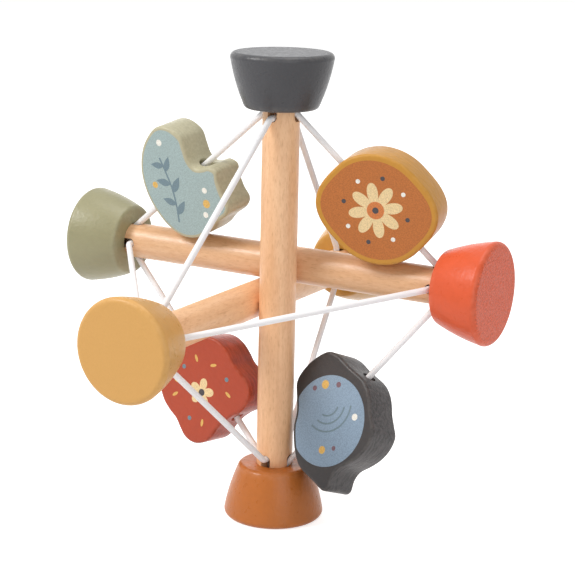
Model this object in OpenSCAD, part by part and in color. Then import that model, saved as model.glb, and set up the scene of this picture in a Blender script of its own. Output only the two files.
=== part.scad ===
// Baby activity ball: three crossed dowels with caps, laced by elastic loops that carry four sliding blocks

/* [Frame] */
// Length of the ball from the face of one cap to the face of the opposite cap
ball_span = 180; // [170:1:240]
// Diameter of the three wooden dowels
dowel_d = 14; // [12:0.5:16]
// Gap between two dowels where they pass each other
dowel_gap = 0.2; // [0.1:0.1:1]

/* [Caps] */
// Largest diameter of a cap, near its outer face
cap_d = 38.5; // [34:0.5:46]
// Diameter of a cap at its inner face
cap_neck_d = 28.5; // [24:0.5:32]
// Height of a cap from its inner face to its outer face
cap_h = 20.8; // [18:0.2:26]
// Radius of the round on a cap's outer rim
cap_rim_r = 2.0; // [1:0.1:4]
// Radius of the round on a cap's inner rim
cap_neck_r = 1.9; // [0.4:0.1:2]
// How far a cap's side swells out beyond a straight taper
cap_swell = 0.5; // [0.1:0.1:1.5]
// Depth of the blind socket that takes a dowel's end
socket_depth = 12; // [8:0.5:15]
// Clearance all round a dowel in its socket
socket_clearance = 0.1; // [0.05:0.05:0.3]

/* [Elastic loops] */
// Diameter of the elastic cord
cord_d = 2.4; // [1.8:0.1:3]
// Clearance on each side of a cord in its kerf
kerf_clearance = 0.7; // [0.6:0.1:1]
// How far a kerf reaches out of its cap
mouth_reach = 4.6; // [4.4:0.1:6]
// Clearance between a cord and the floor of its kerf
cord_seat = 0.3; // [0.2:0.1:0.6]

/* [Blocks] */
// Thickness of a block
block_t = 15; // [12:0.5:17]
// Radius of the round along a block's edges
block_edge_r = 1.1; // [0.8:0.1:2.5]
// Diameter of the hole that the cord runs through
bore_d = 4; // [3.4:0.2:5]
// Diameter of the flared mouths of that hole
flare_d = 6; // [5.2:0.2:7]
// Depth of the flared mouths
flare_depth = 2.5; // [1:0.5:4]
// Least clearance between a block at its lower stop and its dowel
stop_clearance = 0.4; // [0.3:0.1:1]
// Length of the hippo block along its cord
hippo_l = 37; // [30:0.5:40]
// Width of the hippo block across its cord
hippo_w = 45; // [38:0.5:48]
// Turn of the hippo block about its cord, from facing the front
hippo_turn = 3; // [-30:1:30]
// Length of the round block along its cord
round_l = 43; // [36:0.5:45]
// Width of the round block across its cord
round_w = 40; // [34:0.5:43]
// Turn of the round block about its cord, from facing the front
round_turn = 4; // [-10:1:20]
// Least turn of the round block from where it rests
round_turn_min = -110; // [-110:5:-10]
// Greatest turn of the round block from where it rests
round_turn_max = 95; // [0:5:95]
// Squareness of the round block's two side corners, 2 being an ellipse
round_side_power = 3; // [2:0.1:3.2]
// Length of the bear block along its cord
bear_l = 36.5; // [30:0.5:40]
// Width of the bear block across its cord
bear_w = 39; // [32:0.5:40]
// Turn of the bear block about its cord, from facing the front
bear_turn = 2; // [-30:1:30]
// Least turn of the bear block from where it rests
bear_turn_min = -150; // [-150:5:-10]
// Greatest turn of the bear block from where it rests
bear_turn_max = 140; // [0:5:140]
// How far the middle of the bear block lies to the side of its hole
bear_shift = 2; // [0:0.5:3]
// Length of the elephant block along its cord
elephant_l = 42.5; // [34:0.5:44]
// Width of the elephant block across its cord
elephant_w = 45; // [36:0.5:46]
// Turn of the elephant block about its cord, from facing the front
elephant_turn = -23; // [-40:1:10]
// Least turn of the elephant block from where it rests
elephant_turn_min = -55; // [-80:5:-10]
// Greatest turn of the elephant block from where it rests
elephant_turn_max = 110; // [0:5:110]

/* [Hidden] */
$fn = 96;

// Axis numbers, unit vectors and the place where each dowel's axis passes the middle
X = 0;
Y = 1;
Z = 2;
UNIT = [[1, 0, 0], [0, 1, 0], [0, 0, 1]];
dowel_r = dowel_d / 2;
dowel_shift = (dowel_d + dowel_gap) / 2;
PASS = [
    [0, dowel_shift, dowel_shift],
    [-dowel_shift, 0, -dowel_shift],
    [dowel_shift, -dowel_shift, 0]
];

// Levels along a dowel, from the middle of the ball
face_level = ball_span / 2;
neck_level = face_level - cap_h;
dowel_end_level = neck_level + socket_depth;
kerf_w = cord_d + 2 * kerf_clearance;
kerf_floor = neck_level - mouth_reach;

// Places of the cords at a dowel's end: one lies on the kerf's floor, the other crosses over it
cord_r = cord_d / 2;
lower_level = kerf_floor + cord_seat + cord_r;
lower_corner_r = dowel_r + cord_r;
steepest = 1.3;
upper_anchor_r = dowel_r - 1;
upper_anchor_level = kerf_floor + cord_seat + cord_r * sqrt(1 + steepest * steepest)
    + (dowel_r - upper_anchor_r) * steepest;
upper_cross_r = dowel_r * 0.34;
upper_cross_level = upper_anchor_level + upper_anchor_r - upper_cross_r;
stretch_end_r = dowel_r * 0.63;
turn_gap = 0.25;
turn_lead = cord_r * 0.6;
bend_trim = cord_r * 0.8;
cord_sides = 8;
bend_steps = 4;

// Vectors
function unit(v) = v / norm(v);
function square_to(v, axis) = unit(v - axis * (v * axis));

// A point at end s_a of dowel a, moved by r towards side s_b of axis b, at a level along the dowel
function at_end(a, s_a, b, s_b, r, level) = PASS[a] + UNIT[a] * s_a * level + UNIT[b] * s_b * r;

// Closed smooth outline through a few points
function blend_point(a, b, c, d, t) = 0.5 * (
    2 * b + (c - a) * t + (2 * a - 5 * b + 4 * c - d) * t * t + (3 * b - a - 3 * c + d) * t * t * t
);
function smooth(p, steps) = [
    for (i = [0 : len(p) - 1])
        for (j = [0 : steps - 1])
            blend_point(
                p[(i + len(p) - 1) % len(p)], p[i], p[(i + 1) % len(p)], p[(i + 2) % len(p)], j / steps
            )
];
function spread(p, k) = max([for (q = p) q[k]]) - min([for (q = p) q[k]]);
function sized(p, l, w) = [
    for (q = p) [q[0] * l / spread(p, 0), q[1] * w / spread(p, 1)]
];

// Outlines of the blocks, x along the cord and y across it, drawn about the hole and then sized
hippo_points = [
    [8, 19.2], [2.7, 22.6], [-4.4, 21.8], [-10.6, 18.8], [-16, 13.5], [-19.5, 6.5], [-20.9, -1.5],
    [-20, -10.4], [-16.4, -17.4], [-10.5, -21.4], [-4, -22.4], [2, -21.7], [8, -21.9], [11.6, -19.9],
    [12.3, -15], [14, -10], [16, -6.6], [14.2, -3.2], [10.6, -1.7], [8, 0.4], [7.6, 4], [9, 8], [10.5, 13]
];
bear_half = [
    [20.8, 6], [18.4, 13.2], [14.8, 17.2], [10, 19], [5, 19.1], [1, 18.6], [-3.5, 19.3], [-7.5, 19.5],
    [-11.5, 17.6], [-14, 13.8], [-14.8, 9.5], [-13.7, 4.5]
];
bear_points = concat(
    [[21.6, 0]], bear_half, [[-13.3, 0]],
    [for (i = [len(bear_half) - 1 : -1 : 0]) [bear_half[i][0], -bear_half[i][1]]]
);
elephant_points = [
    [19.6, -3], [17.8, 5], [16.6, 12], [13.6, 17], [7, 19.3], [0.5, 19.5], [-4.5, 17.8], [-8, 13],
    [-11.4, 8.4], [-15.6, 4.9], [-19.4, -0.4], [-22, -6], [-22.6, -11], [-21, -18.5], [-19.7, -24.2],
    [-17, -25.6], [-13, -23.3], [-9, -22.7], [-3.7, -24.4], [1.5, -25.4], [6.5, -25], [11, -22.9],
    [13.3, -18.8], [15.2, -15], [17.6, -11.4], [19.2, -7.6]
];
smooth_steps = 4;
hippo_outline = sized(smooth(hippo_points, smooth_steps), hippo_l, hippo_w);
bear_outline = [for (p = sized(smooth(bear_points, smooth_steps), bear_l, bear_w)) p + [0, bear_shift]];
elephant_outline = sized(smooth(elephant_points, smooth_steps), elephant_l, elephant_w);
round_outline = [
    for (a = [0 : 5 : 355])
        let (power = sin(2 * a) > 0 ? round_side_power : 2)
            [round_l / 2 * rooted(cos(a), power), round_w / 2 * rooted(sin(a), power)]
];
function rooted(x, power) = sign(x) * pow(abs(x), 2 / power);

// Outline drawn in by an inset, square to its own edge
function inset(p, d) = [
    for (i = [0 : len(p) - 1])
        let (along = unit(p[(i + 1) % len(p)] - p[(i + len(p) - 1) % len(p)]))
            p[i] - d * [along[1], -along[0]] * winding(p)
];
function winding(p) = sign([for (i = [0 : len(p) - 1]) cross(p[i], p[(i + 1) % len(p)])] * [for (q = p) 1]);

// Cords that carry the blocks: lower anchor, then upper anchor
hippo_ends = [side_anchor(X, -1, Z, 1), side_anchor(Z, 1, X, -1)];
round_ends = [side_anchor(X, 1, Z, 1), side_anchor(Z, 1, X, 1)];
bear_ends = [side_anchor(Z, -1, X, -1), side_anchor(X, -1, Z, -1)];
elephant_ends = [side_anchor(Z, -1, X, 1), side_anchor(X, 1, Z, -1)];
function side_anchor(a, s_a, b, s_b) = at_end(a, s_a, b, s_b, upper_anchor_r, upper_anchor_level);

// Axes of a block on its cord: along the cord, across it and out of its face
function cord_way(ends) = unit(ends[1] - ends[0]);
function facing(ends, turn) =
    let (u = cord_way(ends), front = square_to(-UNIT[Y], u))
        front * cos(turn) + cross(u, front) * sin(turn);

// Distance up the cord at which a point of a block clears a dowel, for a point that moves along u
function clear_at(p, u, axis, reach) =
    let (
        q = drop(p - PASS[axis], axis),
        w = drop(u, axis),
        a = w * w,
        b = q * w,
        c = q * q - reach * reach,
        root = b * b - a * c
    )
        root > 0 ? (sqrt(root) - b) / a : 0;
function drop(v, axis) = v - UNIT[axis] * v[axis];

// Lower stop of a block: the least way up its cord at which it clears its dowel through all its turns
round_angles = [0, 30, 60, 90];
face_rings = [0.35, 0.7];
function layer_inset(angle) = block_edge_r * (1 - cos(angle));
function layer_height(angle) = block_t / 2 - block_edge_r * (1 - sin(angle));
function stop_at(ends, outline, axis, turns) =
    let (
        u = cord_way(ends),
        rim = inset(outline, block_edge_r),
        edge = [for (a = round_angles) for (p = inset(outline, layer_inset(a))) for (h = [-1, 1])
            [p[0], p[1], h * layer_height(a)]],
        face = [for (p = rim) for (k = face_rings) for (h = [-1, 1])
            [p[0] * k, p[1] * k, h * block_t / 2]],
        ways = [for (t = turns)
            let (w = facing(ends, t), v = cross(w, u))
                max([for (p = concat(edge, face))
                    clear_at(ends[0] + u * p[0] + v * p[1] + w * p[2], u, axis, dowel_r + stop_clearance)])]
    )
        max(ways);
turn_step = 5;
full_turn = [0 : turn_step : 360 - turn_step];
function turns_between(rest, least, greatest) = [rest + least : turn_step : rest + greatest];
round_turns = turns_between(round_turn, round_turn_min, round_turn_max);
bear_turns = turns_between(bear_turn, bear_turn_min, bear_turn_max);
elephant_turns = turns_between(elephant_turn, elephant_turn_min, elephant_turn_max);

// Route of a loop through the four dowel ends in its plane, as corner points
function loop_ends(a, b) = [[a, 1], [b, 1], [a, -1], [b, -1]];
function lower_pass(end, from, to) = [
    at_end(end[0], end[1], from[0], from[1], lower_corner_r, lower_level),
    at_end(end[0], end[1], to[0], to[1], lower_corner_r, lower_level)
];
function upper_pass(end, from, to) = [
    at_end(end[0], end[1], from[0], from[1], upper_anchor_r, upper_anchor_level),
    at_end(end[0], end[1], from[0], from[1], upper_cross_r, upper_cross_level),
    at_end(end[0], end[1], to[0], to[1], upper_cross_r, upper_cross_level),
    at_end(end[0], end[1], to[0], to[1], upper_anchor_r, upper_anchor_level)
];
function loop_route(a, b, upper_axis) =
    let (ends = loop_ends(a, b))
        [for (i = [0 : 3])
            let (end = ends[i], from = ends[(i + 3) % 4], to = ends[(i + 1) % 4])
                each end[0] == upper_axis ? upper_pass(end, from, to) : lower_pass(end, from, to)];

// Route with its corners rounded
function bend(a, b, c) =
    let (p = b + unit(a - b) * bend_trim, q = b + unit(c - b) * bend_trim)
        [for (i = [0 : bend_steps])
            let (t = i / bend_steps)
                p * (1 - t) * (1 - t) + b * 2 * t * (1 - t) + q * t * t];
function closed_bends(p) = [
    for (i = [0 : len(p) - 1])
        each bend(p[(i + len(p) - 1) % len(p)], p[i], p[(i + 1) % len(p)])
];

// Way of a route at one of its points
function way_at(p, i, closed) =
    let (n = len(p))
        closed ? unit(p[(i + 1) % n] - p[(i + n - 1) % n])
        : unit(p[min(i + 1, n - 1)] - p[max(i - 1, 0)]);

// Round tube along a route that stays near the plane square to a normal
module tube(route, normal, closed) {
    n = len(route);
    rings = [
        for (i = [0 : n - 1])
            let (t = way_at(route, i, closed), e = square_to(normal, t), f = cross(t, e))
                for (k = [0 : cord_sides - 1])
                    route[i] + cord_r * (e * cos(360 * k / cord_sides) + f * sin(360 * k / cord_sides))
    ];
    sides = [
        for (i = [0 : n - (closed ? 1 : 2)])
            for (k = [0 : cord_sides - 1])
                let (
                    a = i * cord_sides,
                    b = (i + 1) % n * cord_sides,
                    l = (k + 1) % cord_sides
                )
                    each [[a + k, b + k, b + l], [a + k, b + l, a + l]]
    ];
    caps = closed ? [] : [
        [for (k = [0 : cord_sides - 1]) k],
        [for (k = [cord_sides - 1 : -1 : 0]) (n - 1) * cord_sides + k]
    ];
    polyhedron(rings, concat(sides, caps));
}

// Straight round bar between two points
module bar(p, q, d) {
    way = q - p;
    translate(p)
        rotate([0, acos(way[2] / norm(way)), atan2(way[1], way[0])])
            cylinder(h = norm(way), d = d);
}

// Places a piece that is drawn along +Z on one of the three axes
module along_axis(axis, side) {
    turns = [[0, 90, 0], [-90, 0, 0], [0, 0, 0]];
    flip = [[0, 180, 0], [180, 0, 0], [180, 0, 0]];
    translate(PASS[axis])
        rotate(side > 0 ? [0, 0, 0] : flip[axis])
            rotate(turns[axis])
                children();
}

// Dowel with crossed kerfs sawn into both ends
module dowel(axis) {
    along_axis(axis, 1)
        difference() {
            translate([0, 0, -dowel_end_level])
                cylinder(h = 2 * dowel_end_level, d = dowel_d);
            for (side = [0, 180])
                for (across = [0, 90])
                    rotate([side, 0, across])
                        kerf();
        }
}

// Saw kerf with a round floor, open at the dowel's end
module kerf() {
    over = 1;
    floor_axis = kerf_floor + kerf_w / 2;
    translate([0, 0, floor_axis])
        rotate([90, 0, 0])
            cylinder(h = dowel_d + 2 * over, d = kerf_w, center = true);
    translate([-kerf_w / 2, -dowel_r - over, floor_axis])
        cube([kerf_w, dowel_d + 2 * over, dowel_end_level + over - floor_axis]);
}

// Half profile of a cap: flat face, round rim, slightly swelling side and a small round at the neck
module cap_profile() {
    rim = [cap_d / 2 - cap_rim_r, face_level - cap_rim_r];
    neck = [cap_neck_d / 2 - cap_neck_r, neck_level + cap_neck_r];
    taper = atan2(rim[0] - neck[0] + cap_rim_r - cap_neck_r, rim[1] - neck[1]);
    arc_steps = 8;
    side_steps = 8;
    rim_end = rim + cap_rim_r * [cos(-taper), sin(-taper)];
    neck_end = neck + cap_neck_r * [cos(-taper), sin(-taper)];
    polygon(concat(
        [[0, neck_level], [0, face_level]],
        [for (i = [0 : arc_steps])
            let (a = 90 - (90 + taper) * i / arc_steps)
                rim + cap_rim_r * [cos(a), sin(a)]],
        [for (i = [1 : side_steps - 1])
            let (t = i / side_steps)
                rim_end * (1 - t) + neck_end * t + 4 * t * (1 - t) * cap_swell * [cos(taper), -sin(taper)]],
        [for (i = [0 : arc_steps])
            let (a = -taper - (90 - taper) * i / arc_steps)
                neck + cap_neck_r * [cos(a), sin(a)]]
    ));
}

// Cap with the blind socket that is glued over a dowel's end
module cap(axis, side) {
    over = 1;
    along_axis(axis, side)
        difference() {
            rotate_extrude()
                cap_profile();
            translate([0, 0, neck_level - over])
                cylinder(h = socket_depth + over, d = dowel_d + 2 * socket_clearance);
        }
}

// Flat block with rounded edges, bored for its cord, at its lower stop
module block(ends, outline, turn, axis, turns) {
    u = cord_way(ends);
    w = facing(ends, turn);
    v = cross(w, u);
    p = ends[0] + u * stop_at(ends, outline, axis, turns);
    multmatrix([
        [u[0], v[0], w[0], p[0]],
        [u[1], v[1], w[1], p[1]],
        [u[2], v[2], w[2], p[2]],
        [0, 0, 0, 1]
    ])
        difference() {
            rounded_plate(outline);
            rotate([0, 90, 0])
                cylinder(h = 2 * spread(outline, 0), d = bore_d, center = true);
            for (side = [-1, 1])
                rotate([0, 90 * side, 0])
                    flare(mouth_at(outline, side));
        }
}

// Flared mouth of a block's hole, at a level along the hole
module flare(level) {
    rotate_extrude()
        polygon([
            [0, level - flare_depth], [bore_d / 2, level - flare_depth], [flare_d / 2, level],
            [flare_d / 2, level + block_t], [0, level + block_t]
        ]);
}

// Distance along the cord at which a block's edge first meets the mouth of its hole
function mouth_at(outline, side) = min([
    for (p = outline)
        if (p[0] * side > 0 && abs(p[1]) < flare_d / 2)
            p[0] * side
]);

// Plate of an outline whose edges are rounded on both faces
module rounded_plate(outline) {
    low = [for (i = [len(round_angles) - 1 : -1 : 0]) [round_angles[i], -1]];
    high = [for (a = round_angles) [a, 1]];
    layers = concat(low, high);
    n = len(outline);
    points = [
        for (layer = layers)
            for (p = inset(outline, layer_inset(layer[0]))) [p[0], p[1], layer[1] * layer_height(layer[0])]
    ];
    way = winding(outline);
    sides = [
        for (i = [0 : len(layers) - 2])
            for (k = [0 : n - 1])
                let (a = i * n + k, b = i * n + (k + 1) % n)
                    each way > 0 ? [[a, a + n, b + n], [a, b + n, b]] : [[a, b + n, a + n], [a, b, b + n]]
    ];
    bottom = [for (k = [0 : n - 1]) way > 0 ? k : n - 1 - k];
    top = [for (k = [0 : n - 1]) (len(layers) - 1) * n + (way > 0 ? n - 1 - k : k)];
    polyhedron(points, concat(sides, [bottom, top]));
}

// Straight stretch of the side loop, from inside one kerf to inside the other
module stretch(ends) {
    u = cord_way(ends);
    low = ends[0] - u * into_kerf(ends, 0);
    high = ends[1] + u * into_kerf(ends, 1);
    bar(low, high, cord_d);
}

// How far a stretch runs past its anchor: to the radius where it meets the loop's turn
function into_kerf(ends, k) =
    (upper_anchor_r - stretch_end_r) / run_in(ends, k);
function run_in(ends, k) =
    let (u = cord_way(ends), a = turn_axis(ends, k), q = drop(ends[k] - PASS[a], a))
        abs(u * unit(q));
function turn_axis(ends, k) = abs(ends[k][Z]) > abs(ends[k][X]) ? Z : X;

// Turn of the side loop inside a dowel's end, from one stretch to the next
module turn(end, from, to) {
    before = turn_start(end, from);
    after = turn_start(end, to);
    b = at_end(end[0], end[1], from[0], from[1], upper_cross_r, upper_cross_level);
    c = at_end(end[0], end[1], to[0], to[1], upper_cross_r, upper_cross_level);
    route = concat(
        before, bend(before[1], b, c), bend(b, c, after[1]), [after[1], after[0]]
    );
    tube(route, UNIT[Y], false);
}

// First two points of a turn, in line with the stretch that it meets
function turn_start(end, other) =
    let (
        ends = [
            side_anchor(end[0], end[1], other[0], other[1]),
            side_anchor(other[0], other[1], end[0], end[1])
        ],
        way = cord_way(ends),
        start = ends[0] - way * (into_kerf(ends, 0) + turn_gap)
    )
        [start, start - way * turn_lead];

module upright_dowel() { color("burlywood") dowel(Z); }
module cross_dowel() { color("burlywood") dowel(X); }
module depth_dowel() { color("burlywood") dowel(Y); }
module top_cap() { color([0.35, 0.35, 0.37]) cap(Z, 1); }
module bottom_cap() { color([0.75, 0.46, 0.26]) cap(Z, -1); }
module left_cap() { color([0.62, 0.6, 0.46]) cap(X, -1); }
module right_cap() { color([0.86, 0.43, 0.33]) cap(X, 1); }
module front_cap() { color([0.88, 0.69, 0.44]) cap(Y, -1); }
module back_cap() { color([0.74, 0.54, 0.24]) cap(Y, 1); }
module upright_loop() { color("white") tube(closed_bends(loop_route(Z, Y, X)), UNIT[X], true); }
module level_loop() { color("white") tube(closed_bends(loop_route(X, Y, Y)), UNIT[Z], true); }
module side_loop_turns() {
    ends = loop_ends(Z, X);
    color("white")
        for (i = [0 : 3])
            turn(ends[i], ends[(i + 3) % 4], ends[(i + 1) % 4]);
}
module hippo_cord() { color("white") stretch(hippo_ends); }
module round_cord() { color("white") stretch(round_ends); }
module bear_cord() { color("white") stretch(bear_ends); }
module elephant_cord() { color("white") stretch(elephant_ends); }
module hippo_block() {
    color([0.66, 0.64, 0.5]) block(hippo_ends, hippo_outline, hippo_turn, X, full_turn);
}
module round_block() {
    color([0.8, 0.6, 0.3]) block(round_ends, round_outline, round_turn, X, round_turns);
}
module bear_block() {
    color([0.72, 0.34, 0.26]) block(bear_ends, bear_outline, bear_turn, Z, bear_turns);
}
module elephant_block() {
    color([0.33, 0.32, 0.33]) block(elephant_ends, elephant_outline, elephant_turn, Z, elephant_turns);
}

upright_dowel();
cross_dowel();
depth_dowel();
top_cap();
bottom_cap();
left_cap();
right_cap();
front_cap();
back_cap();
upright_loop();
level_loop();
side_loop_turns();
hippo_cord();
round_cord();
bear_cord();
elephant_cord();
hippo_block();
round_block();
bear_block();
elephant_block();
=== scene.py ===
"""Looks of the baby activity ball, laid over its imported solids.

Sizes, places and outlines are in millimetres, and MM turns them into metres where a mesh is made. Bumps, the
floor, the lights and the camera are in metres.
"""

import math

import bmesh
import bpy
import numpy as np
from mathutils import Matrix, Vector


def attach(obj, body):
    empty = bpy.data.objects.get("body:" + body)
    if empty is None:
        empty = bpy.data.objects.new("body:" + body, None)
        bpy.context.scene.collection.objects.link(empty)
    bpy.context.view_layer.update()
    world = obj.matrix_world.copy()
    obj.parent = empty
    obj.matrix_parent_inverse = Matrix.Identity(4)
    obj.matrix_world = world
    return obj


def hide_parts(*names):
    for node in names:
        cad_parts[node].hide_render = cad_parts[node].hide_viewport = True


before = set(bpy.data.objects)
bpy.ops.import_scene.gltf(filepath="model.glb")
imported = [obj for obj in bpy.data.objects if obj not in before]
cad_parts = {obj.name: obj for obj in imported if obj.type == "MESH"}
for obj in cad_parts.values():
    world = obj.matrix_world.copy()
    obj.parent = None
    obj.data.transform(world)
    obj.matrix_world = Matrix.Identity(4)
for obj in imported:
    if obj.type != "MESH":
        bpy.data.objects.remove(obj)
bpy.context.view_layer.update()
MM = 0.001
X, Y, Z = 0, 1, 2
UNIT = np.eye(3)

# Sizes that the solids share
SPAN_MM = 180.0
DOWEL_D_MM = 14.0
DOWEL_GAP_MM = 0.2
CAP_D_MM = 38.5
CAP_NECK_D_MM = 28.5
CAP_H_MM = 20.8
CAP_RIM_R_MM = 2.0
CAP_NECK_R_MM = 1.9
CAP_SWELL_MM = 0.5
SOCKET_DEPTH_MM = 12.0
SOCKET_CLEARANCE_MM = 0.1
CORD_D_MM = 2.4
MOUTH_REACH_MM = 4.6
CORD_SEAT_MM = 0.3
STEEPEST_RISE = 1.3
ANCHOR_INSET_MM = 1.0
CROSS_SHARE = 0.34
STRETCH_END_SHARE = 0.63
TURN_GAP_MM = 0.25
TURN_LEAD_SHARE = 0.6
BEND_TRIM_SHARE = 0.8
BLOCK_T_MM = 15.0
BLOCK_EDGE_R_MM = 1.1

# Places that follow from them
DOWEL_R = DOWEL_D_MM / 2
SHIFT = (DOWEL_D_MM + DOWEL_GAP_MM) / 2
FACE_LEVEL = SPAN_MM / 2
NECK_LEVEL = FACE_LEVEL - CAP_H_MM
KERF_FLOOR = NECK_LEVEL - MOUTH_REACH_MM
CORD_R = CORD_D_MM / 2
LOWER_LEVEL = KERF_FLOOR + CORD_SEAT_MM + CORD_R
LOWER_CORNER_R = DOWEL_R + CORD_R
ANCHOR_R = DOWEL_R - ANCHOR_INSET_MM
ANCHOR_RISE = CORD_R * math.hypot(1, STEEPEST_RISE) + (DOWEL_R - ANCHOR_R) * STEEPEST_RISE
ANCHOR_LEVEL = KERF_FLOOR + CORD_SEAT_MM + ANCHOR_RISE
CROSS_R = DOWEL_R * CROSS_SHARE
CROSS_LEVEL = ANCHOR_LEVEL + ANCHOR_R - CROSS_R
STRETCH_END_R = DOWEL_R * STRETCH_END_SHARE
TURN_LEAD = CORD_R * TURN_LEAD_SHARE
BEND_TRIM = CORD_R * BEND_TRIM_SHARE
PASS = np.array([[0, SHIFT, SHIFT], [-SHIFT, 0, -SHIFT], [SHIFT, -SHIFT, 0]])


def unit(v):
    return v / np.linalg.norm(v)


def square_to(v, axis):
    return unit(v - axis * np.dot(v, axis))


def at_end(a, side_a, b, side_b, r, level):
    """A point at one end of dowel a, off its centre line towards one end of dowel b."""
    return PASS[a] + UNIT[a] * side_a * level + UNIT[b] * side_b * r


def anchor(a, side_a, b, side_b):
    """Where a cord towards dowel b leaves one end of dowel a."""
    return at_end(a, side_a, b, side_b, ANCHOR_R, ANCHOR_LEVEL)


# Colours

def srgb(r, g, b):
    """A colour given as it looks on screen, 0 to 255, in linear light."""
    def one(c):
        c /= 255
        return c / 12.92 if c <= 0.04045 else ((c + 0.055) / 1.055) ** 2.4
    return (one(r), one(g), one(b), 1.0)


def scaled(colour, k):
    return tuple(min(1.0, c * k) for c in colour[:3]) + (1.0,)


BARE_WOOD = srgb(236, 224, 205)
WOOD_PALE = srgb(239, 196, 154)
WOOD_MID = srgb(229, 180, 136)
WOOD_DEEP = srgb(210, 154, 109)
WOOD_PORE = srgb(192, 138, 96)
# Elastic colours: painted shade for the braid's grooves, a lighter colour for the strands' tops, and fuzz.
CORD_SHADE = srgb(242, 240, 241)
CORD_LIGHT = srgb(254, 253, 254)
CORD_FUZZ = srgb(246, 243, 244)
COLOURS = {
    "grey": srgb(77, 77, 80),
    "terracotta": srgb(186, 108, 48),
    "sage": srgb(151, 146, 112),
    "coral": srgb(219, 95, 60),
    "ochre": srgb(215, 164, 96),
    "mustard": srgb(199, 143, 62),
    "pale_sage": srgb(182, 176, 147),
    "brick": srgb(176, 75, 51),
    "slate": srgb(67, 64, 64),
}
INK_COLOURS = {
    "pale_blue": srgb(160, 178, 177),
    "deep_blue": srgb(112, 133, 142),
    "steel_blue": srgb(137, 158, 178),
    "rust": srgb(183, 108, 51),
    "cream": srgb(232, 205, 155),
    "orange": srgb(206, 122, 66),
    "white": srgb(240, 236, 226),
    "dark": srgb(70, 66, 68),
    "honey": srgb(222, 178, 96),
    "plum": srgb(122, 92, 100),
}


# Materials

class Tree:
    """A material's node tree with short calls to add and join nodes."""

    def __init__(self, name):
        self.material = bpy.data.materials.new(name)
        self.material.use_nodes = True
        self.nodes = self.material.node_tree.nodes
        self.links = self.material.node_tree.links
        self.nodes.clear()
        self.out = self.nodes.new("ShaderNodeOutputMaterial")
        self.shader = self.nodes.new("ShaderNodeBsdfPrincipled")
        self.links.new(self.shader.outputs[0], self.out.inputs["Surface"])

    def add(self, kind, **values):
        n = self.nodes.new(kind)
        for key, value in values.items():
            setattr(n, key, value)
        return n

    def put(self, value, socket):
        if isinstance(value, bpy.types.NodeSocket):
            self.links.new(value, socket)
        else:
            socket.default_value = value

    def set(self, socket, value):
        self.put(value, self.shader.inputs[socket])

    def coords(self, scale):
        source = self.add("ShaderNodeTexCoord").outputs["Object"]
        mapping = self.add("ShaderNodeMapping")
        self.put(source, mapping.inputs["Vector"])
        mapping.inputs["Scale"].default_value = scale
        return mapping.outputs[0]

    def noise(self, vector, scale, detail=2.0, rough=0.5, distortion=0.0):
        n = self.add("ShaderNodeTexNoise")
        self.put(vector, n.inputs["Vector"])
        n.inputs["Scale"].default_value = scale
        n.inputs["Detail"].default_value = detail
        n.inputs["Roughness"].default_value = rough
        n.inputs["Distortion"].default_value = distortion
        return n.outputs["Fac"]

    def math(self, op, a, b=0.0):
        n = self.add("ShaderNodeMath", operation=op)
        self.put(a, n.inputs[0])
        self.put(b, n.inputs[1])
        return n.outputs[0]

    def span(self, value, source, target=(0.0, 1.0)):
        """A value's place in one range, carried over to another and kept inside it."""
        n = self.add("ShaderNodeMapRange", clamp=True)
        self.put(value, n.inputs["Value"])
        for key, (low, high) in (("From", source), ("To", target)):
            n.inputs[key + " Min"].default_value = low
            n.inputs[key + " Max"].default_value = high
        return n.outputs[0]

    def mix(self, factor, a, b):
        n = self.add("ShaderNodeMix", data_type="RGBA", blend_type="MIX")
        self.put(factor, n.inputs["Factor"])
        self.put(a, n.inputs["A"])
        self.put(b, n.inputs["B"])
        return n.outputs["Result"]

    def tones(self, factor, colour, strengths):
        """A colour between two strengths of itself."""
        low, high = strengths
        return self.mix(factor, scaled(colour, low), scaled(colour, high))

    def bump(self, height, strength, distance, normal=None):
        n = self.add("ShaderNodeBump")
        n.inputs["Strength"].default_value = strength
        n.inputs["Distance"].default_value = distance
        self.put(height, n.inputs["Height"])
        if normal is not None:
            self.put(normal, n.inputs["Normal"])
        return n.outputs[0]

    def attribute(self, name):
        n = self.add("ShaderNodeAttribute", attribute_name=name)
        return n.outputs["Fac"]


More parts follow.
